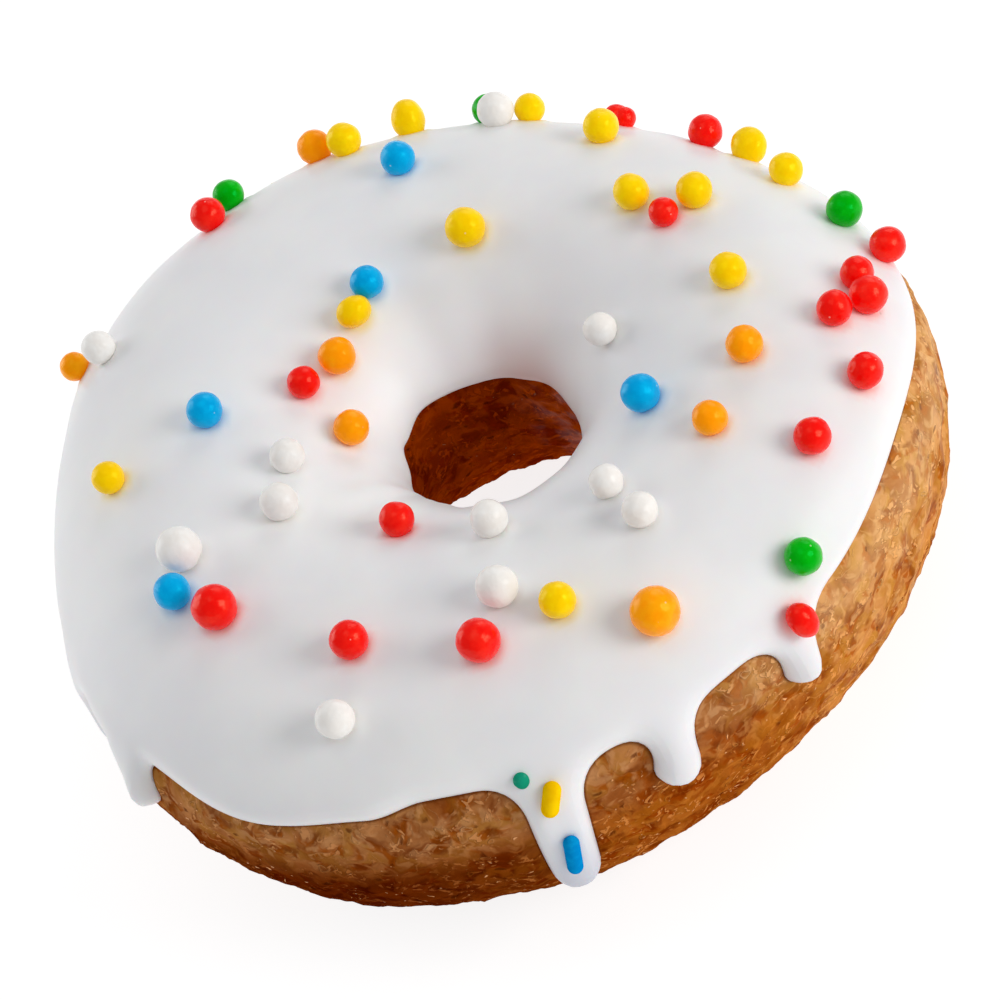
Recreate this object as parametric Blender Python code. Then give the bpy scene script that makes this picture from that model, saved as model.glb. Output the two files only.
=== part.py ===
"""Glazed mini doughnut: a fried ring of dough with a thick coat of icing that has run down in drips.

Metres, +Z up. The ring rests on the flat of its underside at z = 0, and the origin is under the
middle of the whole doughnut's box. A place on the ring is given by two angles in degrees:
bearing runs round the ring (0 is -Y, 90 is +X), and roll runs round its section (0 is outermost,
90 is the crown, 180 is the waist of the hole, 270 is the underside).
"""

from math import cos, exp, hypot, pi, radians, sin, sqrt

import bmesh
import bpy
from mathutils import Matrix, Vector

MM = 0.001

# The ring of dough. Its outline and its hole are a little out of round: each is a mean radius
# and the sizes (cosine, sine) of the uneven waves that go 1 to 5 times round the ring.
OUTER_RADIUS = 29.2 * MM
OUTER_WAVES = {2: (-0.1 * MM, -0.8 * MM), 3: (0.8 * MM, -1.1 * MM), 4: (0.1 * MM, 0), 5: (0, -0.2 * MM)}
HOLE_RADIUS = 6.6 * MM
HOLE_WAVES = {1: (2.2 * MM, 0.35 * MM), 2: (0.2 * MM, -0.55 * MM), 3: (-0.1 * MM, 0)}
CROWN_RISE = 7.2 * MM  # from the belly, where the ring is widest, up to the crown
BELLY_DROP = 15.5 * MM  # from the belly down to where a round underside would end
SEAT_CUT = 1.0 * MM  # how much of that round underside the flat seat takes off
BELLY_LEVEL = BELLY_DROP - SEAT_CUT
LUMP = 0.1 * MM  # soft lumps all over the dough
DOUGH_COLUMNS = 88
DOUGH_ROWS = 26

# The icing.
GAP = 0.3 * MM  # clear space between the dough and the icing's underside
COAT = 0.85 * MM  # thickness of the icing away from its edges
LIP = 1.3 * MM  # how far in from its edge the icing gets to that thickness
DRIP_BEAD = 0.45 * MM  # how much thicker a drip is at its tip
MELD = 2.7 * MM  # how widely most drips' sides curve into the edge that they run from
ICING_COLUMNS = 200
ICING_TRIANGLES = 5200

# The icing's plain edge on the outside and in the hole: its level above the belly at a bearing.
OUTER_EDGE = (
    (0, 2.4 * MM), (14, 1.9 * MM), (31, 1.6 * MM), (56, 2.8 * MM), (76, 2.2 * MM), (110, 1.9 * MM),
    (150, 1.6 * MM), (205, 1.3 * MM), (250, 0.8 * MM), (283, 1.8 * MM), (292.5, 2.8 * MM), (309, 2.1 * MM),
    (325, 2.6 * MM), (333.5, 3.2 * MM),
)
HOLE_EDGE = (
    (0, -2.4 * MM), (60, -3.0 * MM), (90, -0.2 * MM), (120, 0.9 * MM), (150, 1.1 * MM), (185, 1.3 * MM),
    (210, 0.8 * MM), (235, -1.0 * MM), (262, -0.7 * MM), (290, -0.6 * MM), (325, -1.2 * MM),
)

# The drips: bearing of the root, bearing of the tip, level of the tip, half width at root and tip,
# and how widely the sides curve into the edge.
DRIPS = (
    (350.1, 346.9, -8.1 * MM, 2.1 * MM, 1.7 * MM, MELD),
    (7.6, 4.7, -2.6 * MM, 0.9 * MM, 1.6 * MM, MELD),
    (26.6, 24.8, -3.0 * MM, 1.6 * MM, 1.3 * MM, MELD),
    (106, 104, -6.4 * MM, 1.6 * MM, 1.7 * MM, MELD),
    (122, 123, -1.4 * MM, 2.4 * MM, 2.0 * MM, MELD),
    (143, 145, -4.6 * MM, 1.5 * MM, 1.6 * MM, MELD),
    (163, 162, -8.2 * MM, 1.7 * MM, 1.5 * MM, MELD),
    (184, 183, -1.8 * MM, 2.3 * MM, 2.1 * MM, MELD),
    (203, 204, -5.2 * MM, 1.6 * MM, 1.7 * MM, MELD),
    (224, 222, -1.6 * MM, 2.2 * MM, 2.0 * MM, MELD),
    (244, 245, -3.8 * MM, 1.7 * MM, 1.6 * MM, MELD),
    (266, 268, -6.0 * MM, 1.9 * MM, 1.7 * MM, MELD),
    (286.2, 290.2, -0.3 * MM, 2.1 * MM, 0.9 * MM, 1.0 * MM),
)


def waved(radius, waves, bearing):
    azimuth = radians(bearing - 90)
    return radius + sum(
        along * cos(times * azimuth) + across * sin(times * azimuth)
        for times, (along, across) in waves.items()
    )


def lump(bearing, roll):
    """How far the dough's soft lumps stand out or sink in at a place on the ring."""
    b, r = radians(bearing), radians(roll)
    waves = sin(5 * b + 2 * sin(r) + 1.3) + sin(9 * b - 2 * r + 0.8) + 0.7 * sin(14 * b + 3 * r + 0.4)
    return LUMP * waves / 2


def ring_point(bearing, roll, lift=0.0):
    """The place on the dough's skin, or lift metres outside it, about the middle of the ring."""
    outer = waved(OUTER_RADIUS, OUTER_WAVES, bearing)
    hole = waved(HOLE_RADIUS, HOLE_WAVES, bearing)
    middle, half = (outer + hole) / 2, (outer - hole) / 2
    across, up = cos(radians(roll)), sin(radians(roll))
    rise = CROWN_RISE if up > 0 else BELLY_DROP
    outward, upward = across / half, up / rise
    out = (lift + lump(bearing, roll)) / hypot(outward, upward)
    radius = middle + across * half + outward * out
    azimuth = radians(bearing - 90)
    return Vector((radius * cos(azimuth), radius * sin(azimuth), BELLY_LEVEL + up * rise + upward * out))


def turn(degrees):
    """An angle brought between -180 and 180."""
    return (degrees + 180) % 360 - 180


def edge_level(stations, bearing):
    """The plain edge's level at a bearing, eased from one station to the next."""
    round_again = ((stations[0][0] + 360, stations[0][1]),)
    for (start, low), (end, high) in zip(stations, stations[1:] + round_again):
        if start <= bearing % 360 <= end:
            return low + (high - low) * (1 - cos(pi * (bearing % 360 - start) / (end - start))) / 2
    return stations[0][1]


def level_of(roll):
    """The height above the belly of a place on the section."""
    up = sin(radians(roll))
    return up * (CROWN_RISE if up > 0 else BELLY_DROP)


def meld(first, second, reach):
    """The larger of two depths, rounded where they differ by less than the reach."""
    blend = max(0.0, reach - abs(first - second)) / reach
    return max(first, second) + blend * blend * reach / 4


def inside_drip(drip, bearing, level):
    """How deep a place lies inside a drip: a finger that widens or tapers from its root to its round tip."""
    root, tip, tip_level, root_half, tip_half, reach = drip
    top = edge_level(OUTER_EDGE, root) + reach
    down = top - (tip_level + tip_half)
    x = OUTER_RADIUS * radians(turn(bearing - root))
    lean = OUTER_RADIUS * radians(turn(tip - root))
    y = top - level
    along = min(1.0, max(0.0, (x * lean + y * down) / (lean * lean + down * down)))
    return root_half + (tip_half - root_half) * along - hypot(x - along * lean, y - along * down)


def depth(bearing, roll):
    """How far a place lies inside the icing's edge, measured along the skin. Outside, it is negative."""
    level = level_of(roll)
    if roll > 90:
        return level - edge_level(HOLE_EDGE, bearing)
    found = level - edge_level(OUTER_EDGE, bearing)
    for drip in DRIPS:
        found = meld(found, inside_drip(drip, bearing, level), drip[-1])
    return found


def bead(bearing, roll):
    """The extra thickness of the icing near the tips of its drips."""
    level = level_of(roll)
    total = 0.0
    for _, tip, tip_level, _, tip_half, _ in DRIPS if roll < 90 else ():
        away = hypot(OUTER_RADIUS * radians(turn(bearing - tip)), level - tip_level - tip_half)
        total += DRIP_BEAD * exp(-((away / tip_half / 1.3) ** 2))
    return total


def thickness(bearing, roll, inside):
    """The icing's thickness: nothing at its edge, rounding up to the full coat over the lip."""
    rounding = sqrt(1 - (1 - min(1.0, inside / LIP)) ** 2)
    return rounding * (COAT + bead(bearing, roll))


def material(name, colour, roughness):
    made = bpy.data.materials.new(name)
    made.use_nodes = True
    shader = made.node_tree.nodes["Principled BSDF"]
    shader.inputs["Base Color"].default_value = (*colour, 1)
    shader.inputs["Roughness"].default_value = roughness
    made.diffuse_color = (*colour, 1)
    return made


def add_object(name, bm, finish):
    mesh = bpy.data.meshes.new(name)
    bmesh.ops.recalc_face_normals(bm, faces=bm.faces)
    bm.to_mesh(mesh)
    bm.free()
    mesh.shade_smooth()
    mesh.materials.append(finish)
    made = bpy.data.objects.new(name, mesh)
    bpy.context.collection.objects.link(made)
    return made


def dough_mesh():
    """The ring of dough, cut flat below: a closed skin whose seat joins the two cut loops."""
    bm = bmesh.new()
    loops = []
    for column in range(DOUGH_COLUMNS):
        bearing = 360 * column / DOUGH_COLUMNS
        places = [ring_point(bearing, 360 * row / DOUGH_ROWS) for row in range(DOUGH_ROWS)]
        loops.append([bm.verts.new(place) for place in places])
    for this, other in zip(loops, loops[1:] + loops[:1]):
        for row in range(DOUGH_ROWS):
            following = (row + 1) % DOUGH_ROWS
            bm.faces.new((this[row], other[row], other[following], this[following]))
    whole = bm.verts[:] + bm.edges[:] + bm.faces[:]
    bmesh.ops.bisect_plane(bm, geom=whole, plane_co=(0, 0, 0), plane_no=(0, 0, -1), clear_outer=True)
    bmesh.ops.bridge_loops(bm, edges=[edge for edge in bm.edges if edge.is_boundary])
    return bm


def icing_rolls():
    """The rows of the icing's net, about a millimetre apart, from below the drips to down in the hole."""
    below = [-38 + 3.8 * row for row in range(10)]
    over = [180 * row / 26 for row in range(27)]
    return below + over + [184, 188, 192, 196]


def icing_net():
    """A flat net over (bearing, roll) whose height is the depth inside the icing's edge, cut at nought."""
    net = bmesh.new()
    rolls = icing_rolls()
    columns = []
    for column in range(ICING_COLUMNS + 1):
        bearing = 360 * column / ICING_COLUMNS
        columns.append([net.verts.new((bearing, roll, depth(bearing, roll) / MM)) for roll in rolls])
    for this, other in zip(columns, columns[1:]):
        for row in range(len(rolls) - 1):
            net.faces.new((this[row], other[row], other[row + 1], this[row + 1]))
    for level in (0.0, 0.12 * LIP / MM, 0.5 * LIP / MM):
        whole = net.verts[:] + net.edges[:] + net.faces[:]
        bmesh.ops.bisect_plane(
            net, geom=whole, plane_co=(0, 0, level), plane_no=(0, 0, -1), clear_outer=level == 0
        )
    return net


def icing_mesh():
    """The coat: the net laid over the dough twice, as its top and its underside, which meet at the edge."""
    bm = bmesh.new()
    net = icing_net()
    for top in (True, False):
        laid = {}
        for vert in net.verts:
            bearing, roll, inside = vert.co.x, vert.co.y, max(0.0, vert.co.z) * MM
            rise = thickness(bearing, roll, inside) if top else 0.0
            laid[vert] = bm.verts.new(ring_point(bearing, roll, GAP + rise))
        for face in net.faces:
            corners = [laid[vert] for vert in face.verts]
            bm.faces.new(corners if top else corners[::-1])
    net.free()
    bmesh.ops.remove_doubles(bm, verts=bm.verts, dist=0.002 * MM)
    return bm


def thin_out(piece, triangles):
    """Leaves about this many triangles, the most where the surface bends the most."""
    piece.data.calc_loop_triangles()
    fewer = piece.modifiers.new("fewer triangles", "DECIMATE")
    fewer.ratio = triangles / len(piece.data.loop_triangles)


def centre(pieces):
    """Moves the meshes sideways together, so that the middle of their box is over the origin."""
    points = [vert.co for piece in pieces for vert in piece.data.vertices]
    middle = [(min(p[axis] for p in points) + max(p[axis] for p in points)) / 2 for axis in (0, 1)]
    for piece in pieces:
        piece.data.transform(Matrix.Translation((-middle[0], -middle[1], 0)))


def main():
    for old in list(bpy.data.objects):
        bpy.data.objects.remove(old, do_unlink=True)
    dough = add_object("dough", dough_mesh(), material("fried dough", (0.40, 0.17, 0.05), 0.45))
    icing = add_object("icing", icing_mesh(), material("white icing", (0.82, 0.82, 0.83), 0.3))
    thin_out(icing, ICING_TRIANGLES)
    centre([dough, icing])


main()
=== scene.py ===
"""Looks of the glazed mini doughnut: the fried ring, its poured icing, and the sugar pearls and strands.

Metres, +Z up. A place on the ring is given by two angles in degrees, as in the part's own source:
bearing runs round the ring (0 is -Y, 90 is +X), and roll runs round its section (0 is outermost,
90 is the crown, 180 is the waist of the hole, 270 is the underside).
"""

from math import pi, radians

import bmesh
import bpy
import numpy as np
from mathutils import Matrix, Quaternion, Vector


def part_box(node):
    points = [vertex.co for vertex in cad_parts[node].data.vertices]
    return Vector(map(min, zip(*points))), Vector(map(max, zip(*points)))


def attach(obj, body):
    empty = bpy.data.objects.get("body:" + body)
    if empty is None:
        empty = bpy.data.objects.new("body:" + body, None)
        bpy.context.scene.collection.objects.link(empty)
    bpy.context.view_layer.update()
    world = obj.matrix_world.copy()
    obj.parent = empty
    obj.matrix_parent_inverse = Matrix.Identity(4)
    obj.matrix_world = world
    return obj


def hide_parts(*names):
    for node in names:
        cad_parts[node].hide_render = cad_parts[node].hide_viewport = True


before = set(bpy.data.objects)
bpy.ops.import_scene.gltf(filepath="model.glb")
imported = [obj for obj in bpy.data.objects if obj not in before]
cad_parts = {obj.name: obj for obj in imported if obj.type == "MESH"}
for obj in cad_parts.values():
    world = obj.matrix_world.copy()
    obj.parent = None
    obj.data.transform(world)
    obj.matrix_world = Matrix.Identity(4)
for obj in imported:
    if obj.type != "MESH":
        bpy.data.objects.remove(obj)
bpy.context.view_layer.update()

MM = 0.001

# The ring of dough, with the same sizes as its solid.
OUTER_RADIUS = 29.2 * MM
OUTER_WAVES = {2: (-0.1 * MM, -0.8 * MM), 3: (0.8 * MM, -1.1 * MM), 4: (0.1 * MM, 0), 5: (0, -0.2 * MM)}
HOLE_RADIUS = 6.6 * MM
HOLE_WAVES = {1: (2.2 * MM, 0.35 * MM), 2: (0.2 * MM, -0.55 * MM), 3: (-0.1 * MM, 0)}
CROWN_RISE = 7.2 * MM
BELLY_DROP = 15.5 * MM
SEAT_CUT = 1.0 * MM
BELLY_LEVEL = BELLY_DROP - SEAT_CUT
LUMP = 0.1 * MM
SOLID_COLUMNS, SOLID_ROWS = 88, 26

# The icing, from just under the dough's skin out to the same surface as its solid.
ICING_SINK = 0.12 * MM
ICING_LIFT = 1.15 * MM
LIP = 1.3 * MM
DRIP_BEAD = 0.45 * MM
MELD = 2.7 * MM
OUTER_EDGE = (
    (0, 2.4 * MM), (14, 1.9 * MM), (31, 1.6 * MM), (56, 2.8 * MM), (76, 2.2 * MM), (110, 1.9 * MM),
    (150, 1.6 * MM), (205, 1.3 * MM), (250, 0.8 * MM), (283, 1.8 * MM), (292.5, 2.8 * MM), (309, 2.1 * MM),
    (325, 2.6 * MM), (333.5, 3.2 * MM),
)
HOLE_EDGE = (
    (0, -2.4 * MM), (60, -3.0 * MM), (90, -0.2 * MM), (120, 0.9 * MM), (150, 1.1 * MM), (185, 1.3 * MM),
    (210, 0.8 * MM), (235, -1.0 * MM), (262, -0.7 * MM), (290, -0.6 * MM), (325, -1.2 * MM),
)
DRIPS = (
    (350.1, 346.9, -8.1 * MM, 2.1 * MM, 1.7 * MM, MELD),
    (7.6, 4.7, -2.6 * MM, 0.9 * MM, 1.6 * MM, MELD),
    (26.6, 24.8, -3.0 * MM, 1.6 * MM, 1.3 * MM, MELD),
    (106, 104, -6.4 * MM, 1.6 * MM, 1.7 * MM, MELD),
    (122, 123, -1.4 * MM, 2.4 * MM, 2.0 * MM, MELD),
    (143, 145, -4.6 * MM, 1.5 * MM, 1.6 * MM, MELD),
    (163, 162, -8.2 * MM, 1.7 * MM, 1.5 * MM, MELD),
    (184, 183, -1.8 * MM, 2.3 * MM, 2.1 * MM, MELD),
    (203, 204, -5.2 * MM, 1.6 * MM, 1.7 * MM, MELD),
    (224, 222, -1.6 * MM, 2.2 * MM, 2.0 * MM, MELD),
    (244, 245, -3.8 * MM, 1.7 * MM, 1.6 * MM, MELD),
    (266, 268, -6.0 * MM, 1.9 * MM, 1.7 * MM, MELD),
    (286.2, 290.2, -0.3 * MM, 2.1 * MM, 0.9 * MM, 1.0 * MM),
)

# Sugar pearls by colour: bearing, roll and diameter in mm, and for an uneven one its own shares
# of that diameter round the ring, up the section and outwards.
PEARLS = {
    "yellow": (
        (163.2, 35, 2.45, (0.95, 1.0, 1.15)), (172.2, 45.9, 2.4), (128.5, 54.5, 2.4), (145, 35, 2.1),
        (146.7, 108, 2.7), (110, 84.5, 2.4), (101, 73.5, 2.4), (110.2, 28, 2.3, (1.15, 0.9, 1.1)),
        (99.2, 40, 2.25), (79.5, 85, 2.4), (187, 123.5, 2.25, (1.08, 0.9, 1.0)), (247.5, 64, 2.2),
        (2.3, 73.3, 2.35), (183.5, 0, 2.3), (144.5, -8, 2.3),
    ),
    "orange": (
        (176.5, 37.5, 2.4), (203, 130.5, 2.5), (232.8, 143.5, 2.35), (61.5, 82.5, 2.4), (46, 84.5, 2.25),
        (13, 52, 3.15), (219.8, 25.5, 2.0), (203.5, -5, 2.3),
    ),
    "red": (
        (194, 47.5, 2.4), (131.2, 33.5, 1.7), (129.8, 33.5, 1.55), (117.5, 28.5, 2.3), (101, 86, 1.95),
        (219.2, 125.2, 2.15), (81, 30.5, 2.35), (74.7, 47, 2.2), (70.7, 45.2, 2.5), (68, 56.5, 2.3),
        (58.5, 44.7, 2.4, (1.0, 0.95, 1.0)), (46.8, 52.4, 2.4), (322.5, 124.5, 2.3), (292, 78.5, 2.95),
        (323, 79.5, 2.5), (347.5, 71, 2.8), (26.3, 16.8, 2.2, (0.85, 1.15, 0.85)), (162.5, -10, 2.4),
    ),
    "blue": (
        (163.5, 72, 2.35), (178.5, 117, 2.25), (236.1, 96.9, 2.4), (53, 112.8, 2.5), (281, 73.5, 2.4),
        (162, -24, 2.2),
    ),
    "green": (
        (189.6, 36.5, 2.2), (88, 37.5, 2.35), (32, 32, 2.4), (151.3, 36, 2.2), (104.5, -15, 2.2),
    ),
    "white": (
        (149, 44, 2.5), (219.5, 47, 2.3), (86, 129.5, 2.2), (256, 120.5, 2.3), (277.5, 112, 2.5),
        (274.5, 81.5, 2.95), (358.3, 115.5, 2.45), (353.7, 86, 2.7), (26.3, 100, 2.2), (24, 82, 2.3),
        (323, 56.5, 2.5), (203.5, -15, 2.2),
    ),
}
PEARL_SINK = 0.08  # the share of its diameter that a pearl has sunk into the icing
PEARL_DENTS, PEARL_GRAIN = 0.16 * MM, 1.2 * MM  # how uneven a pearl is, and how far apart its dents are

# Sugar strands by colour: bearing, roll, heading in degrees from up the section towards lower bearings,
# how far one end is tipped up, the height of its middle over the icing, its length and its thickness.
STRANDS = {
    "yellow": (349.2, 14.7, -28, 0, 0.35 * MM, 2.45 * MM, 1.15 * MM),
    "blue": (348.2, -10.4, -13, 0, 0.3 * MM, 3.7 * MM, 1.05 * MM),
    "teal": (346.7, 24.6, 0, 65, -0.2 * MM, 1.6 * MM, 1.0 * MM),
}
STRAND_DENTS, STRAND_GRAIN = 0.05 * MM, 0.8 * MM

# The camera and the lights. A light has a bearing, an angle in degrees above the table, a width in
# metres, a power and a tint.
CAMERA_ANGLE = 46.4  # degrees above the table
CAMERA_ROLL = -29.7
CAMERA_AIM = 14.7 * MM  # how high over the table the camera is aimed
CAMERA_AWAY = 0.366
CAMERA_SHIFT = (1.74 * MM, -1.37 * MM)  # how far it is then moved to its own right, and up
CAMERA_LENS = 202
LIGHT_AWAY = 0.5
LIGHTS = {
    "key": (52, 25, 0.28, 1.25, (1.0, 0.98, 0.95)),
    "fill": (225, 18, 0.35, 0.72, (1, 1, 1)),
    "back": (135, 30, 0.3, 0.36, (1, 1, 1)),
    "top": (0, 88, 0.3, 0.22, (1, 1, 1)),
}
STUDIO_TINT, STUDIO_STRENGTH = (0.97, 0.98, 1.0, 1), 0.41
TABLE_GLOW = 0.85


# Shape of the ring and of the icing on it. These take arrays of angles.


def waved(radius, waves, bearing):
    """A radius with its uneven waves, at a bearing."""
    azimuth = np.radians(bearing - 90)
    return radius + sum(
        along * np.cos(times * azimuth) + across * np.sin(times * azimuth)
        for times, (along, across) in waves.items()
    )


def lump(bearing, roll):
    """How far the dough's soft lumps stand out or sink in at a place on the ring."""
    b, r = np.radians(bearing), np.radians(roll)
    waves = np.sin(5 * b + 2 * np.sin(r) + 1.3) + np.sin(9 * b - 2 * r + 0.8)
    return LUMP * (waves + 0.7 * np.sin(14 * b + 3 * r + 0.4)) / 2


def ring_points(bearing, roll, lift=0.0):
    """The places on the dough's skin, or lift metres outside it, about the middle of the ring."""
    bearing, roll = np.asarray(bearing, float), np.asarray(roll, float)
    outer = waved(OUTER_RADIUS, OUTER_WAVES, bearing)
    hole = waved(HOLE_RADIUS, HOLE_WAVES, bearing)
    middle, half = (outer + hole) / 2, (outer - hole) / 2
    across, up = np.cos(np.radians(roll)), np.sin(np.radians(roll))
    rise = np.where(up > 0, CROWN_RISE, BELLY_DROP)
    outward, upward = across / half, up / rise
    out = (lift + lump(bearing, roll)) / np.hypot(outward, upward)
    radius = middle + across * half + outward * out
    azimuth = np.radians(bearing - 90)
    level = BELLY_LEVEL + up * rise + upward * out
    return np.stack((radius * np.cos(azimuth), radius * np.sin(azimuth), level), axis=-1)


def ring_middle():
    """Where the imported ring's middle lies: its box set against the box of the same net of points."""
    bearing, roll = np.meshgrid(
        360 * np.arange(SOLID_COLUMNS) / SOLID_COLUMNS, 360 * np.arange(SOLID_ROWS) / SOLID_ROWS
    )
    net = ring_points(bearing, roll).reshape(-1, 3)
    low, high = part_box("dough")
    middle = (np.array(low) + np.array(high) - net.min(0) - net.max(0)) / 2
    return np.array((middle[0], middle[1], 0.0))


MIDDLE = ring_middle()


def on_ring(bearing, roll, lift=0.0):
    """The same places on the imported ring."""
    return ring_points(bearing, roll, lift) + MIDDLE


def turn(degrees):
    """An angle brought between -180 and 180."""
    return (degrees + 180) % 360 - 180


def edge_level(stations, bearing):
    """The plain edge's level at a bearing, eased from one station to the next."""
    starts = np.array([start for start, _ in stations] + [stations[0][0] + 360.0])
    levels = np.array([level for _, level in stations] + [stations[0][1]])
    bearing = np.asarray(bearing, float) % 360
    step = np.clip(np.searchsorted(starts, bearing, side="right") - 1, 0, len(stations) - 1)
    share = (bearing - starts[step]) / (starts[step + 1] - starts[step])
    return levels[step] + (levels[step + 1] - levels[step]) * (1 - np.cos(pi * share)) / 2


def level_of(roll):
    """The height above the belly of a place on the section."""
    up = np.sin(np.radians(roll))
    return up * np.where(up > 0, CROWN_RISE, BELLY_DROP)


def meld(first, second, reach):
    """The larger of two depths, rounded where they differ by less than the reach."""
    blend = np.maximum(0.0, reach - np.abs(first - second)) / reach
    return np.maximum(first, second) + blend * blend * reach / 4


def inside_drip(drip, bearing, level):
    """How deep a place lies inside a drip: a finger that widens or tapers from its root to its round tip."""
    root, tip, tip_level, root_half, tip_half, reach = drip
    top = edge_level(OUTER_EDGE, root) + reach
    down = top - (tip_level + tip_half)
    x = OUTER_RADIUS * np.radians(turn(bearing - root))
    lean = OUTER_RADIUS * np.radians(turn(tip - root))
    y = top - level
    along = np.clip((x * lean + y * down) / (lean * lean + down * down), 0, 1)
    return root_half + (tip_half - root_half) * along - np.hypot(x - along * lean, y - along * down)


def depth(bearing, roll):
    """How far a place lies inside the icing's edge, measured along the skin. Outside, it is negative."""
    level = level_of(roll)
    outside = level - edge_level(OUTER_EDGE, bearing)
    for drip in DRIPS:
        outside = meld(outside, inside_drip(drip, bearing, level), drip[-1])
    return np.where(roll > 90, level - edge_level(HOLE_EDGE, bearing), outside)


def bead(bearing, roll):
    """The extra thickness of the icing near the tips of its drips."""
    level = level_of(roll)
    total = 0.0
    for _, tip, tip_level, _, tip_half, _ in DRIPS:
        away = np.hypot(OUTER_RADIUS * np.radians(turn(bearing - tip)), level - tip_level - tip_half)
        total = total + DRIP_BEAD * np.exp(-((away / tip_half / 1.3) ** 2))
    return np.where(roll < 90, total, 0.0)


def icing_top(bearing, roll):
    """How far the icing's surface stands off the dough away from the icing's edge."""
    return ICING_LIFT + bead(bearing, roll)


def icing_lift(bearing, roll, inside):
    """How far the icing's surface stands off the dough: sunk at its edge, rounding up over the lip."""
    rounding = np.sqrt(1 - (1 - np.clip(inside / LIP, 0, 1)) ** 2)
    return rounding * (ICING_SINK + icing_top(bearing, roll)) - ICING_SINK


# Node trees.


class Value:
    """A socket that can be reckoned with: each operator adds its Math node."""

    def __init__(self, recipe, socket):
        self.recipe, self.socket = recipe, socket

    def reckon(self, operation, first, second):
        return self.recipe.node("ShaderNodeMath", {"operation": operation}, {0: first, 1: second})

    def __add__(self, other):
        return self.reckon("ADD", self, other)

    def __sub__(self, other):
        return self.reckon("SUBTRACT", self, other)

    def __rsub__(self, other):
        return self.reckon("SUBTRACT", other, self)

    def __mul__(self, other):
        return self.reckon("MULTIPLY", self, other)

    def __rtruediv__(self, other):
        return self.reckon("DIVIDE", other, self)

    def __pow__(self, other):
        return self.reckon("POWER", self, other)

    def __abs__(self):
        return self.reckon("ABSOLUTE", self, 0.0)

    __radd__, __rmul__ = __add__, __mul__


class Recipe:
    """Adds nodes to a tree."""

    def __init__(self, tree):
        self.tree = tree

    def node(self, kind, settings=None, sockets=None, output=0):
        """A new node with these settings and sockets, as the Value of one of its outputs."""
        made = self.tree.nodes.new(kind)
        for name, setting in (settings or {}).items():
            setattr(made, name, setting)
        for name, value in (sockets or {}).items():
            if isinstance(value, Value):
                self.tree.links.new(value.socket, made.inputs[name])
            else:
                made.inputs[name].default_value = value
        return Value(self, made.outputs[output])

    def noise(self, place, size, detail=2.0, output=0, **sockets):
        """Soft cloudy noise from 0 to 1, whose clouds are about size metres across."""
        values = {"Vector": place, "Scale": 1 / size, "Detail": detail, **sockets}
        return self.node("ShaderNodeTexNoise", {}, values, output)

    def cells(self, place, size, output="Distance"):
        """Cells about size metres across: the distance to each one's middle in cells, or its colour."""
        sockets = {"Vector": place, "Scale": 1 / size}
        return self.node("ShaderNodeTexVoronoi", {"feature": "F1"}, sockets, output)

    def lot(self, place, size):
        """A number of its own from 0 to 1 for each of those cells."""
        return self.node("ShaderNodeSeparateXYZ", {}, {0: self.cells(place, size, "Color")}, "X")

    def bent(self, place, size, reach):
        """The same place pushed aside by clouds of this size, unevenly by up to reach metres each way."""
        warp = self.noise(place, size, 2.0, output="Color")
        settings, sockets = {"operation": "MULTIPLY_ADD"}, {0: warp, 1: (2 * reach,) * 3, 2: place}
        return self.node("ShaderNodeVectorMath", settings, sockets)

    def ease(self, value, start, end):
        """0 up to start, 1 from end on, and eased between them. Start may be the larger of the two."""
        limits = {"Value": value, "From Min": start, "From Max": end}
        return self.node("ShaderNodeMapRange", {"interpolation_type": "SMOOTHSTEP"}, limits)

    def mix(self, share, first, second, blend="MIX"):
        """One colour turning into another."""
        settings = {"data_type": "RGBA", "blend_type": blend}
        return self.node("ShaderNodeMix", settings, {0: share, 6: first, 7: second}, 2)

    def attribute(self, name, output="Fac"):
        """What is stored on the piece under this name."""
        return self.node("ShaderNodeAttribute", {"attribute_name": name}, {}, output)


def colour(red, green, blue):
    """A colour given on the usual scale of 0 to 255, as Blender's nodes want it."""
    shares = (np.array((red, green, blue)) / 255 + 0.055) / 1.055
    return (*(float(share) ** 2.4 for share in shares), 1.0)


class Finish(Recipe):
    """A material: its recipe, the place on the piece, and the surface shader's own sockets."""

    def __init__(self, name, **surface):
        self.material = bpy.data.materials.new(name)
        self.material.use_nodes = True
        super().__init__(self.material.node_tree)
        self.surface = self.tree.nodes["Principled BSDF"]
        self.place = self.node("ShaderNodeTexCoord", output="Object")
        for socket, value in surface.items():
            self.surface.inputs[socket.replace("_", " ")].default_value = value

    def put(self, socket, value):
        """Feeds one of the surface shader's sockets."""
        self.tree.links.new(value.socket, self.surface.inputs[socket])

    def bump(self, height, distance, under=None):
        """Fine relief: height is 0 to 1, and distance is how high 1 stands, in metres."""
        sockets = {"Height": height, "Distance": distance, "Strength": 1.0}
        if under:
            sockets["Normal"] = under
        return self.node("ShaderNodeBump", {}, sockets)


BLISTER = 1.3 * MM  # from one blister to the next
PIT = 1.1 * MM
GLINT = 0.6 * MM

# What the fried skin's colour is multiplied by. Low down it is partly painted shade, and on the
# shaded side low down and on the hole's wall it is painted shade.
DEEP_TINT = (0.64, 0.49, 0.4, 1.0)  # where it is fried deeper
PALE_TINT = (0.96, 0.87, 0.71, 1.0)  # where it is paler
LOW_TINT = (0.86, 0.56, 0.17, 1.0)  # low on the outside
PAINTED_SHADE_TINT = (0.32, 0.15, 0.03, 1.0)  # low on the outside where it is darkest
WALL_TINT = (0.66, 0.19, 0.004, 1.0)  # on the wall of the hole


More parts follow.
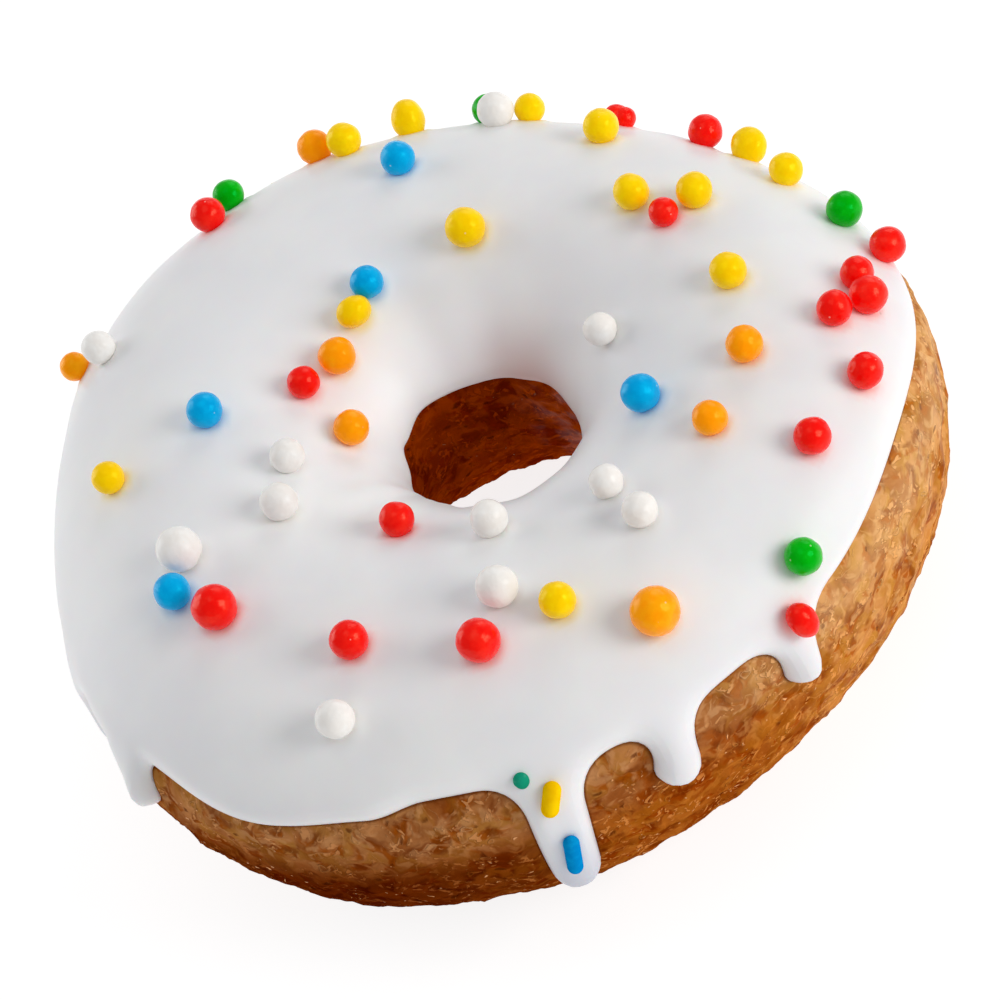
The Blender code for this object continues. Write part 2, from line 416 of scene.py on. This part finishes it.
def fried_dough():
    """Fried skin: pinkish tan and ochre, amber hollows, pale strokes, blisters, and painted highlights and
    shade.
    """
    f = Finish("fried dough", Specular_IOR_Level=0.0, Coat_Roughness=0.3, Coat_IOR=1.4)
    bent = f.bent(f.place, 2.2 * MM, 1.0 * MM)
    curled = f.bent(bent, 0.8 * MM, 0.3 * MM)

    # Light and dark clouds, and each is partly pinkish and partly ochre.
    clouds = f.noise(bent, 2.4 * MM, 3.0)
    hue = f.ease(f.noise(curled, 1.8 * MM, 2.0), 0.42, 0.58)
    light = f.mix(hue, colour(220, 166, 110), colour(210, 158, 84))
    dark = f.mix(hue, colour(180, 116, 60), colour(172, 110, 38))
    base = f.mix(f.ease(clouds, 0.34, 0.64), dark, light)

    # Amber hollows, brown patches and pale puffs.
    amber = f.ease(f.noise(curled, 1.5 * MM, 2.5), 0.51, 0.63)
    base = f.mix(amber * 0.85, base, colour(184, 102, 12))
    patches = f.ease(f.noise(bent, 1.5 * MM, 3.0), 0.5, 0.66)
    base = f.mix(patches * 0.65, base, colour(136, 66, 12))
    puffs = f.ease(f.noise(bent, 1.0 * MM, 2.0), 0.52, 0.66)
    base = f.mix(puffs * 0.5, base, colour(240, 196, 144))

    # Pale strokes and thinner threads, broken off here and there, and crowds of small pale dots.
    strokes = f.ease(abs(f.noise(bent, 2.0 * MM, 0.5) - 0.5), 0.035, 0.005)
    strokes = strokes * f.ease(f.noise(f.place, 1.4 * MM, 1.0), 0.46, 0.6)
    threads = f.ease(abs(f.noise(curled, 1.3 * MM, 0.5) - 0.47), 0.03, 0.005)
    threads = threads * f.ease(f.noise(f.place, 1.0 * MM, 1.0), 0.52, 0.62)
    lines = f.node("ShaderNodeMath", {"operation": "MAXIMUM"}, {0: strokes, 1: threads})
    base = f.mix(lines * 0.3, base, colour(255, 205, 145))
    dots = f.ease(f.noise(bent, 0.42 * MM, 1.0), 0.56, 0.63)
    dots = dots * f.ease(f.noise(f.place, 1.9 * MM), 0.48, 0.58)
    base = f.mix(dots * 0.75, base, colour(252, 196, 136))

    # A pale ring round each blister, a painted highlight, and dark pits.
    blistered = f.ease(f.lot(bent, BLISTER), 0.76, 0.78)
    ring = f.ease(abs(f.cells(bent, BLISTER) - 0.2), 0.08, 0.0) * blistered
    base = f.mix(ring * 0.5, base, colour(250, 205, 150))
    pits = f.ease(f.cells(curled, PIT), 0.28, 0.08) * f.ease(f.lot(curled, PIT), 0.72, 0.78)
    base = f.mix(pits * 0.7, base, colour(110, 48, 8))

    # How deeply each part of the ring is fried, with uneven borders. Then browner low down, partly
    # painted shade, more painted shade on one side and on the hole's wall, and a painted highlight band.
    unsettled = (clouds - 0.5) * 0.5
    deep = f.ease(f.attribute("deep") + unsettled, 0.0, 1.0)
    base = f.mix(deep, base, DEEP_TINT, "MULTIPLY")
    base = f.mix(1 - f.attribute("deep"), base, PALE_TINT, "MULTIPLY")
    # Browner low down: partly deeper frying, partly painted shade.
    low = f.ease(f.attribute("low") + unsettled * 0.6, 0.0, 0.85)
    base = f.mix(low, base, LOW_TINT, "MULTIPLY")
    # Painted shade: darker still low down on the shaded side.
    base = f.mix(low * f.attribute("dark"), base, PAINTED_SHADE_TINT, "MULTIPLY")
    base = f.mix(low * dots * (0.4 - 0.32 * f.attribute("dark")), base, colour(226, 150, 84))
    # Painted shade: darker and redder on the wall of the hole.
    base = f.mix(f.attribute("wall"), base, WALL_TINT, "MULTIPLY")
    # A painted highlight band along the pale side's belly.
    base = f.mix(f.attribute("painted_sheen") * 0.25, base, colour(236, 190, 136))

    # Glints of oil, painted as pale highlights, and a painted shadow: a brown line along the icing's edge.
    glints = f.ease(f.cells(curled, GLINT), 0.22, 0.08)
    glints = glints * f.ease(f.lot(curled, GLINT) + low * 0.18, 0.86, 0.92)
    base = f.mix(glints * (0.85 - 0.7 * f.attribute("wall")), base, colour(250, 176, 112))
    painted_contact_shadow = f.ease(f.attribute("covered"), -0.18 * MM, -0.03 * MM)
    base = f.mix(painted_contact_shadow * 0.7, base, colour(96, 42, 10))
    f.put("Base Color", base)

    fine = f.bump(f.noise(f.place, 0.3 * MM, 3.0), 0.04 * MM)
    relief = lines * 0.15 + dots * 0.4 + ring * 0.5 + glints * 0.5 - pits * 0.6 - amber * 0.3 + clouds * 2.5
    f.put("Normal", f.bump(relief, 0.15 * MM, fine))
    oily = f.ease(f.noise(f.place, 2.0 * MM), 0.4, 0.6) * (1 - deep) * (1 - low)
    f.put("Coat Weight", oily * 0.3 + glints * 0.3)
    return f.material


def white_icing():
    """Smooth white set icing with a soft shine, its dye, painted light and painted shade, and a few dark
    specks.
    """
    f = Finish("white icing", Roughness=0.3, IOR=1.45, Specular_IOR_Level=0.15)
    f.surface.inputs["Subsurface Weight"].default_value = 0.15
    f.surface.inputs["Subsurface Scale"].default_value = 1.0 * MM
    clouds = f.ease(f.noise(f.place, 7 * MM, 3.0), 0.3, 0.7)
    base = f.mix(clouds, colour(236, 236, 238), colour(241, 241, 241))
    base = f.mix(1.0, base, f.attribute("tint_and_painted_light", "Color"), "MULTIPLY")
    specks = f.ease(f.cells(f.place, 5.5 * MM), 0.035, 0.015)
    base = f.mix(specks * 0.5, base, colour(140, 138, 130))
    f.put("Base Color", base)
    f.put("Normal", f.bump(f.noise(f.place, 3.5 * MM, 1.0), 0.05 * MM))
    f.put("Roughness", 0.26 + 0.12 * f.noise(f.place, 5 * MM, 2.0))
    return f.material


def sugar(name, deep, pale, shine, gloss=0.45):
    """Sugar, dyed deep with pale clouds. A faint glow stands for the light that a glossy one lets through."""
    f = Finish(
        name, IOR=1.45, Specular_IOR_Level=gloss, Specular_Tint=(*shine, 1.0),
        Emission_Color=colour(*deep), Emission_Strength=gloss / 4,
    )
    own = f.attribute("own shade")
    cloud = f.noise(f.place, 0.8 * MM, 3.0)
    share = f.ease(cloud + (own - 0.5) * 0.16, 0.4, 0.72) * 0.6
    base = f.mix(share, colour(*deep), colour(*pale))
    crumbs = f.ease(f.cells(f.place, 0.5 * MM), 0.16, 0.08) * f.ease(f.lot(f.place, 0.5 * MM), 0.9, 0.93)
    f.put("Base Color", f.mix(crumbs * 0.4, base, colour(250, 235, 220)))
    f.put("Roughness", 0.14 + 0.16 * f.noise(f.place, 0.5 * MM, 2.0))
    f.put("Normal", f.bump(f.noise(f.place, 0.3 * MM, 2.0), 0.015 * MM))
    return f.material


def plain_table():
    """A white table that glows a little, so that shadows on it stay faint."""
    f = Finish("table", Roughness=0.9, Emission_Color=(1, 1, 1, 1), Emission_Strength=TABLE_GLOW)
    f.put("Base Color", f.mix(f.noise(f.place, 0.2), colour(138, 138, 138), colour(142, 142, 142)))
    return f.material


# Geometry Nodes.


class Maker(Recipe):
    """A Geometry Nodes tree with named inputs, which turns a mesh into a plain piece."""

    KINDS = {float: "NodeSocketFloat", int: "NodeSocketInt", bpy.types.Material: "NodeSocketMaterial"}

    def __init__(self, name, inputs):
        super().__init__(bpy.data.node_groups.new(name, "GeometryNodeTree"))
        face = self.tree.interface
        face.new_socket("Geometry", in_out="INPUT", socket_type="NodeSocketGeometry")
        face.new_socket("Geometry", in_out="OUTPUT", socket_type="NodeSocketGeometry")
        self.named = {}
        for label, kind in inputs.items():
            made = face.new_socket(label, in_out="INPUT", socket_type=self.KINDS[kind])
            self.named[label] = made.identifier
        self.entry = self.tree.nodes.new("NodeGroupInput")

    def given(self, label):
        """The mesh, or one of the named inputs."""
        return Value(self, self.entry.outputs[label])

    def stored(self, label, kind="FLOAT"):
        """What is stored on the mesh under this name."""
        return self.node("GeometryNodeInputNamedAttribute", {"data_type": kind}, {"Name": label})

    def end(self, geometry, finish):
        """The last nodes: instances made real, and the finish."""
        real = self.node("GeometryNodeRealizeInstances", {}, {"Geometry": geometry})
        dressed = self.node("GeometryNodeSetMaterial", {}, {"Geometry": real, "Material": finish})
        last = self.tree.nodes.new("NodeGroupOutput")
        self.tree.links.new(dressed.socket, last.inputs["Geometry"])

    def run(self, name, mesh, **values):
        """Runs the tree on a mesh and returns the result as a plain piece."""
        holder = bpy.data.objects.new(name + " start", mesh)
        bpy.context.collection.objects.link(holder)
        modifier = holder.modifiers.new("maker", "NODES")
        modifier.node_group = self.tree
        for label, value in values.items():
            modifier[self.named[label.replace("_", " ")]] = value
        bpy.context.view_layer.update()
        graph = bpy.context.evaluated_depsgraph_get()
        made = bpy.data.meshes.new_from_object(holder.evaluated_get(graph), depsgraph=graph)
        bpy.data.objects.remove(holder)
        return piece(name, made)


def piece(name, mesh):
    """A smooth object of this name, in the scene."""
    mesh.name = name
    mesh.shade_smooth()
    made = bpy.data.objects.new(name, mesh)
    bpy.context.collection.objects.link(made)
    return made


def fried_skin():
    """Relief of the fried skin: humps, blisters and crinkles, which fade out under the icing."""
    m = Maker(
        "fried skin",
        {
            "Hump Height": float, "Hump Size": float, "Blister Height": float, "Blister Size": float,
            "Crinkle Height": float, "Crinkle Size": float, "Finish": bpy.types.Material,
        },
    )
    place = m.node("GeometryNodeInputPosition")
    bare = m.ease(m.stored("covered"), 0.1 * MM, -0.8 * MM)

    def scaled(label):
        sockets = {0: place, "Scale": 1 / m.given(label)}
        return m.node("ShaderNodeVectorMath", {"operation": "SCALE"}, sockets)

    hump = m.noise(scaled("Hump Size"), 1.0, 2.0) * 2 - 1
    crinkle = (1 - abs(m.noise(scaled("Crinkle Size"), 1.0, 2.0, Distortion=0.6) * 2 - 1)) ** 3.0
    blister = m.ease(m.cells(scaled("Blister Size"), 1.0), 0.42, 0.06)
    blister = blister * m.ease(m.lot(scaled("Blister Size"), 1.0), 0.45, 0.9)
    height = (
        hump * m.given("Hump Height")
        + crinkle * m.given("Crinkle Height")
        + blister * m.given("Blister Height")
    ) * bare
    normal = m.node("GeometryNodeInputNormal")
    offset = m.node("ShaderNodeVectorMath", {"operation": "SCALE"}, {0: normal, "Scale": height})
    raised = m.node("GeometryNodeSetPosition", {}, {"Geometry": m.given("Geometry"), "Offset": offset})
    moved = m.node("GeometryNodeInputPosition")
    table = (-1.0, -1.0, 0.0)  # far out in X and Y, so that only the level is kept from going below it
    seated = m.node("ShaderNodeVectorMath", {"operation": "MAXIMUM"}, {0: moved, 1: table})
    flat = m.node("GeometryNodeSetPosition", {}, {"Geometry": raised, "Position": seated})
    m.end(flat, m.given("Finish"))
    return m


def sprinkles():
    """Sugar pearls, or strands if they have a straight part, one at each point of a mesh."""
    m = Maker(
        "sugar sprinkles",
        {
            "Straight Part": float, "Unevenness": float, "Grain": float, "Seed": int,
            "Finish": bpy.types.Material,
        },
    )
    ball = m.node("GeometryNodeMeshIcoSphere", {}, {"Radius": 0.5, "Subdivisions": 5})
    spot = m.node("GeometryNodeInputPosition")
    height = m.node("ShaderNodeSeparateXYZ", {}, {0: spot}, "Z")
    half = m.node("ShaderNodeMath", {"operation": "SIGN"}, {0: height})
    away = m.node("ShaderNodeCombineXYZ", {}, {"Z": half * m.given("Straight Part") * 0.5})
    ball = m.node("GeometryNodeSetPosition", {}, {"Geometry": ball, "Offset": away})
    spun = m.node("FunctionNodeEulerToRotation", {}, {0: m.stored("turned", "FLOAT_VECTOR")})
    placed = m.node(
        "GeometryNodeInstanceOnPoints",
        {},
        {
            "Points": m.given("Geometry"),
            "Instance": ball,
            "Rotation": spun,
            "Scale": m.stored("size", "FLOAT_VECTOR"),
        },
    )
    own = m.node("FunctionNodeRandomValue", {"data_type": "FLOAT"}, {"Seed": m.given("Seed")}, 1)
    placed = m.node(
        "GeometryNodeStoreNamedAttribute",
        {"data_type": "FLOAT", "domain": "INSTANCE"},
        {"Geometry": placed, "Name": "own shade", "Value": own},
    )
    real = m.node("GeometryNodeRealizeInstances", {}, {"Geometry": placed})
    place = m.node("GeometryNodeInputPosition")
    scaled = m.node("ShaderNodeVectorMath", {"operation": "SCALE"}, {0: place, "Scale": 1 / m.given("Grain")})
    dents = (m.noise(scaled, 1.0, 3.0) - 0.5) * m.given("Unevenness")
    normal = m.node("GeometryNodeInputNormal")
    offset = m.node("ShaderNodeVectorMath", {"operation": "SCALE"}, {0: normal, "Scale": dents})
    dented = m.node("GeometryNodeSetPosition", {}, {"Geometry": real, "Offset": offset})
    m.end(dented, m.given("Finish"))
    return m


# Pieces.


def grid_faces(columns, rows):
    """Quads of a net that closes on itself both ways."""
    column, row = np.meshgrid(np.arange(columns), np.arange(rows), indexing="ij")
    after, above = (column + 1) % columns, (row + 1) % rows
    corners = (column * rows + row, after * rows + row, after * rows + above, column * rows + above)
    return np.stack(corners, axis=-1).reshape(-1, 4)


def rolls_of(bands):
    """The rolls of a net's rows, from bands that each have a start, an end and a step."""
    return np.concatenate([np.arange(*band) for band in bands])


def about(bearing, side, sharpness):
    """1 at a bearing, falling to 0 on both sides of it, and the sharper the sooner."""
    return np.clip(sharpness * np.cos(np.radians(bearing - side)) - (sharpness - 1), 0, 1)


RING_COLUMNS = 440
RING_ROWS = ((-101, 25, 1.0), (25, 155, 6.5), (155, 259, 1.6))  # wide apart under the icing
PALE_SIDE = 76  # the bearing where the ring is fried palest, which ends 71 degrees away from it
TAN_SIDE = 292  # where it is a little paler than beside it
# The bearing where painted shade darkens the low part most.
SHADED_SIDE = 316  # where its low part is darkest
LOW_TOP, LOW_FALL = 1.0 * MM, 6 * MM  # the level where its low part begins, and how far down it is in full
WALL_ROLL = 110  # the roll where the wall of the hole begins
# The painted highlight band lies along the belly on the pale side.
SHEEN_WIDTH = 1.5 * MM  # of the pale ridge along the belly


def fried_ring(finish):
    """The dough's skin.

    It is marked with what the icing covers, where it is fried deeper or paler, how low it lies (browner,
    partly painted shade), where painted shade darkens its low part most, the wall of the hole for its
    painted shade, and a painted highlight band along the pale side's belly."""
    rolls = rolls_of(RING_ROWS)
    bearing, roll = np.meshgrid(360 * np.arange(RING_COLUMNS) / RING_COLUMNS, rolls, indexing="ij")
    mesh = bpy.data.meshes.new("fried_ring")
    places = on_ring(bearing, roll).reshape(-1, 3)
    mesh.from_pydata(places.tolist(), [], grid_faces(RING_COLUMNS, len(rolls)).tolist())
    section = (roll + 90) % 360 - 90
    level = level_of(section)
    pale = np.clip((np.cos(np.radians(bearing - PALE_SIDE)) - 0.33) / 0.45, 0, 1)
    low = np.clip((LOW_TOP - level) / LOW_FALL, 0, 1) * (1 - 0.6 * pale)
    shares = {
        "covered": depth(bearing, section),
        "deep": 1 - pale - 0.2 * about(bearing, TAN_SIDE, 5),
        "low": np.where(section > WALL_ROLL, 0, low),
        "dark": about(bearing, SHADED_SIDE, 4.5),
        "wall": np.where(section > WALL_ROLL, 1.0, 0.0),
        "painted_sheen": np.exp(-((level / SHEEN_WIDTH) ** 2)) * pale * (section < 90),
    }
    for label, share in shares.items():
        made = mesh.attributes.new(label, "FLOAT", "POINT")
        made.data.foreach_set("value", share.reshape(-1).astype(np.float32))
    return fried_skin().run(
        "fried_ring", mesh,
        Hump_Height=0.42 * MM, Hump_Size=2.3 * MM, Blister_Height=0.14 * MM, Blister_Size=BLISTER,
        Crinkle_Height=0.12 * MM, Crinkle_Size=1.5 * MM, Finish=finish,
    )


def pearl_feet():
    """Where every pearl stands on the icing, its radius and its colour."""
    for name, places in PEARLS.items():
        for bearing, roll, diameter, *_ in places:
            yield name, on_ring(bearing, roll, icing_top(bearing, roll)), diameter * MM / 2


# The dye that has run from the pearls into the icing round them.
STAINS = {
    "yellow": (255, 243, 190), "orange": (255, 226, 190), "red": (255, 205, 200),
    "blue": (205, 228, 244), "green": (206, 232, 206), "white": (252, 250, 246),
}
STAIN_START, STAIN_REACH = 0.75, 0.75 * MM  # from this share of the pearl's radius, this far out

# The icing stands up against a pearl in a collar, whose crest is at a share of the pearl's radius.
COLLAR, COLLAR_CREST, COLLAR_WIDTH = 0.13 * MM, 0.8, 0.45 * MM

# The dough shows through the thin icing at the hole's edge, on one side of it: a warm grey, partly painted
# shade.
SHOW_THROUGH_AND_SHADE = (237, 208, 203)
THROUGH_SIDE, THROUGH_SPREAD = 120, 24
THROUGH_REACH = 3.0 * MM

# Painted light: the icing is whiter on one side than on the other, from the roll where that begins to
# where it is in full, and whitest in two painted pools of light, each with its bearing, its roll and how
# much.
LIT_SIDE, LIT_ROLLS, PAINTED_LIGHT_SHARE = 215, (60, 100), 0.04
PAINTED_LIGHT_POOLS = ((190, 150, 0.12), (15, 122, 0.05))
POOL_ROUND, POOL_UP = 45, 18  # how far they spread in bearing and in roll

# Painted shade makes the icing greyer low down: its tint there, the level where that begins and how far
# down it is in full.
RIM_PAINTED_SHADE = (246, 246, 248), 4 * MM, 4 * MM
DRIP_PAINTED_SHADE = (212, 215, 226), -1 * MM, 6 * MM

ICING_COLUMNS = 420
ICING_ROWS = ((-42, 6, 2.0), (6, 198, 2.4))
LIP_CUTS = (0.0, 0.03, 0.12, 0.3, 0.6)  # shares of the lip, where the net gets a row along the edge
JOIN = 0.002 * MM  # corners nearer than this are one


def icing_net():
    """A net over bearing, roll and millimetres inside the icing's edge, cut off at that edge.

    Gives each corner's bearing, roll and metres inside, and the faces."""
    rolls = rolls_of(ICING_ROWS)
    bearing, roll = np.meshgrid(360 * np.arange(ICING_COLUMNS + 1) / ICING_COLUMNS, rolls, indexing="ij")
    corners = np.stack((bearing, roll, depth(bearing, roll) / MM), axis=-1)
    net = bmesh.new()
    verts = [[net.verts.new(corner) for corner in column] for column in corners.tolist()]
    for this, other in zip(verts, verts[1:]):
        for row in range(len(rolls) - 1):
            net.faces.new((this[row], other[row], other[row + 1], this[row + 1]))
    for share in LIP_CUTS:
        whole = net.verts[:] + net.edges[:] + net.faces[:]
        bmesh.ops.bisect_plane(
            net, geom=whole, plane_co=(0, 0, share * LIP / MM), plane_no=(0, 0, -1), clear_outer=share == 0
        )
    net.verts.index_update()
    flat = np.array([vert.co for vert in net.verts])
    faces = [[vert.index for vert in face.verts] for face in net.faces]
    net.free()
    return flat[:, 0], flat[:, 1], np.maximum(0.0, flat[:, 2]) * MM, faces


def tinted(share, tint):
    """What white turns into where this share of a tint lies on it."""
    return 1 - share[:, None] * (1 - np.array(colour(*tint)[:3]))


def icing_tint_and_painted_light(bearing, roll, inside):
    """The icing's tint at each place, without the pearls' dye, with painted light and painted shade."""
    # Where the dough shows through the thin icing at the hole's edge, a warm grey that is partly painted
    # shade.
    side = np.exp(-(((bearing - THROUGH_SIDE) / THROUGH_SPREAD) ** 2))
    through_and_shade = np.exp(-((inside / THROUGH_REACH) ** 2)) * (roll > 90) * side
    tint_and_painted_light = tinted(through_and_shade, SHOW_THROUGH_AND_SHADE)
    # Painted light: whiter on one side, and in two pools.
    start, full = LIT_ROLLS
    over = np.clip((roll - start) / (full - start), 0, 1)
    painted_brightening = PAINTED_LIGHT_SHARE * np.cos(np.radians(bearing - LIT_SIDE)) * over
    for place, crest, share in PAINTED_LIGHT_POOLS:
        apart, above = turn(bearing - place) / POOL_ROUND, (roll - crest) / POOL_UP
        painted_brightening += share * np.exp(-(apart ** 2) - above ** 2)
    tint_and_painted_light *= 1 + painted_brightening[:, None]
    # Painted shade: greyer low down and on the drips.
    level = level_of(roll)
    for tint, top, fall in (RIM_PAINTED_SHADE, DRIP_PAINTED_SHADE):
        tint_and_painted_light *= tinted(np.clip((top - level) / fall, 0, 1) * (roll < 90), tint)
    return tint_and_painted_light


def poured_icing(finish):
    """The icing: its net laid over the dough twice, as its top and as its underside."""
    bearing, roll, inside, faces = icing_net()
    plain = on_ring(bearing, roll, ICING_LIFT)
    lift = icing_lift(bearing, roll, inside)
    tint_and_painted_light = icing_tint_and_painted_light(bearing, roll, inside)
    for name, foot, radius in pearl_feet():
        away = np.linalg.norm(plain - foot, axis=1)
        crest = np.exp(-(((away - COLLAR_CREST * radius) / COLLAR_WIDTH) ** 2))
        lift += COLLAR * crest * (inside > LIP)
        near = np.clip(1 - (away - STAIN_START * radius) / STAIN_REACH, 0, 1)
        tint_and_painted_light *= tinted(near ** 1.5, STAINS[name])
    top = on_ring(bearing, roll, lift)
    under = on_ring(bearing, roll, -ICING_SINK)
    mesh = bpy.data.meshes.new("poured_icing")
    count = len(top)
    mesh.from_pydata(
        np.concatenate((top, under)).tolist(),
        [],
        faces + [[index + count for index in reversed(face)] for face in faces],
    )
    marks = mesh.attributes.new("tint_and_painted_light", "FLOAT_COLOR", "POINT")
    shades = np.ones((2 * count, 4))
    shades[:count, :3] = tint_and_painted_light
    marks.data.foreach_set("color", shades.reshape(-1).astype(np.float32))
    whole = bmesh.new()
    whole.from_mesh(mesh)
    bmesh.ops.remove_doubles(whole, verts=whole.verts, dist=JOIN)
    bmesh.ops.recalc_face_normals(whole, faces=whole.faces)
    whole.to_mesh(mesh)
    whole.free()
    mesh.materials.append(finish)
    return piece("poured_icing", mesh)


def surface_axes(bearing, roll):
    """The three directions at a place: round the ring, up the section, and outwards."""
    here = on_ring(bearing, roll)
    up = Vector(on_ring(bearing, roll + 0.5) - here).normalized()
    outwards = Vector(on_ring(bearing, roll, MM) - here).normalized()
    return up.cross(outwards).normalized(), up, outwards


def loose_points(name, sprinkled):
    """A mesh of loose points: each has its place, its size along its own axes, and how it is turned."""
    mesh = bpy.data.meshes.new(name)
    mesh.from_pydata([tuple(place) for place, _, _ in sprinkled], [], [])
    for label, column in (("size", 1), ("turned", 2)):
        values = np.array([tuple(sprinkle[column]) for sprinkle in sprinkled], np.float32)
        mesh.attributes.new(label, "FLOAT_VECTOR", "POINT").data.foreach_set("vector", values.reshape(-1))
    return mesh


def stand_pearls(places):
    """Each pearl's place, size and turn, with its axes along those of the surface."""
    for bearing, roll, diameter, *shares in places:
        size = diameter * MM
        round_ring, up, outwards = surface_axes(bearing, roll)
        axes = Matrix((round_ring, up, outwards)).transposed()
        centre = on_ring(bearing, roll, icing_top(bearing, roll) + (0.5 - PEARL_SINK) * size)
        yield centre, Vector(shares[0] if shares else (1, 1, 1)) * size, axes.to_euler()


def lay_strand(bearing, roll, heading, tip, height, thickness):
    """A strand's place, size and turn, with its own Z along its length."""
    _, up, outwards = surface_axes(bearing, roll)
    along = Quaternion(outwards, radians(heading)) @ up
    along = Quaternion(along.cross(outwards), radians(tip)) @ along
    centre = on_ring(bearing, roll, icing_top(bearing, roll) + height)
    return centre, Vector((thickness,) * 3), along.to_track_quat("Z", "Y").to_euler()


# Each sugar: its deep and its pale dye, the tint of its shine, and its gloss where that isn't the usual.
SUGARS = {
    "yellow": ((247, 200, 0), (255, 220, 10), (1.0, 0.9, 0.04)),
    "orange": ((255, 150, 0), (255, 172, 12), (1.0, 0.7, 0.1)),
    "red": ((241, 2, 0), (252, 40, 24), (1.0, 0.5, 0.3)),
    "blue": ((0, 156, 218), (6, 180, 235), (0.0, 0.8, 1.0)),
    "green": ((0, 165, 5), (12, 190, 24), (0.0, 1.0, 0.2)),
    "white": ((237, 233, 228), (243, 243, 241), (1.0, 1.0, 1.0), 0.25),
    "yellow strand": ((243, 190, 0), (255, 212, 10), (1.0, 0.9, 0.04), 0.0),
    "blue strand": ((0, 132, 200), (14, 164, 224), (0.0, 0.8, 1.0), 0.0),
    "teal strand": ((24, 148, 116), (120, 198, 174), (0.5, 1.0, 0.9), 0.0),
}


def ride_on(made, node=None):
    """Puts a piece on the part's one body and in place of a node where it has them."""
    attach(made, "root")
    if node:
        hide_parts(node)


def softbox(name, aim, bearing, angle, size, power, tint):
    """A round soft light on this bearing, at an angle in degrees above the table."""
    light = bpy.data.lights.new(name, "AREA")
    light.shape, light.size, light.energy, light.color = "DISK", size, power, tint
    made = bpy.data.objects.new(name, light)
    b, a = radians(bearing), radians(angle)
    back = Vector((np.sin(b) * np.cos(a), -np.cos(b) * np.cos(a), np.sin(a)))
    made.location = aim + back * LIGHT_AWAY
    made.rotation_mode = "QUATERNION"
    made.rotation_quaternion = back.to_track_quat("Z", "Y")
    bpy.context.collection.objects.link(made)


def add_camera(middle):
    """A long lens that looks down at the ring's middle, held askew so that the ring leans to the left."""
    angle = radians(CAMERA_ANGLE)
    back = Vector((0, -np.cos(angle), np.sin(angle)))
    held = back.to_track_quat("Z", "Y") @ Quaternion((0, 0, 1), radians(CAMERA_ROLL))
    camera = bpy.data.objects.new("camera", bpy.data.cameras.new("camera"))
    camera.data.lens = CAMERA_LENS
    camera.data.clip_start = 0.01
    camera.rotation_mode = "QUATERNION"
    camera.rotation_quaternion = held
    camera.location = middle + back * CAMERA_AWAY + held @ Vector((*CAMERA_SHIFT, 0))
    bpy.context.collection.objects.link(camera)
    bpy.context.scene.camera = camera


def add_pearls(maker):
    """The sugar pearls, one piece for each colour."""
    for seed, (name, places) in enumerate(PEARLS.items()):
        ride_on(maker.run(
            name + "_pearls", loose_points(name, list(stand_pearls(places))),
            Straight_Part=0.0, Unevenness=PEARL_DENTS, Grain=PEARL_GRAIN, Seed=seed,
            Finish=sugar(name + " sugar", *SUGARS[name]),
        ))


def add_strands(maker):
    """The sugar strands, each a piece of its own."""
    for seed, (name, (*place, length, thickness)) in enumerate(STRANDS.items()):
        ride_on(maker.run(
            name + "_strand", loose_points(name, [lay_strand(*place, thickness)]),
            Straight_Part=length / thickness - 1, Unevenness=STRAND_DENTS, Grain=STRAND_GRAIN, Seed=seed,
            Finish=sugar(name + " strand", *SUGARS[name + " strand"]),
        ))


def add_table():
    """What the doughnut stands on."""
    table = bpy.data.meshes.new("table")
    table.from_pydata([(-1, -1, 0), (1, -1, 0), (1, 1, 0), (-1, 1, 0)], [], [(0, 1, 2, 3)])
    table.materials.append(plain_table())
    piece("table", table)


def light_studio(scene, middle):
    """An even white surround, and the soft lights."""
    world = bpy.data.worlds.new("studio")
    world.use_nodes = True
    world.node_tree.nodes["Background"].inputs["Color"].default_value = STUDIO_TINT
    world.node_tree.nodes["Background"].inputs["Strength"].default_value = STUDIO_STRENGTH
    scene.world = world
    for name, light in LIGHTS.items():
        softbox(name, middle, *light)


def main():
    scene = bpy.context.scene
    scene.view_settings.view_transform = "Standard"
    middle = Vector(MIDDLE) + Vector((0, 0, CAMERA_AIM))
    add_camera(middle)
    ride_on(fried_ring(fried_dough()), "dough")
    ride_on(poured_icing(white_icing()), "icing")
    maker = sprinkles()
    add_pearls(maker)
    add_strands(maker)
    add_table()
    light_studio(scene, middle)


main()
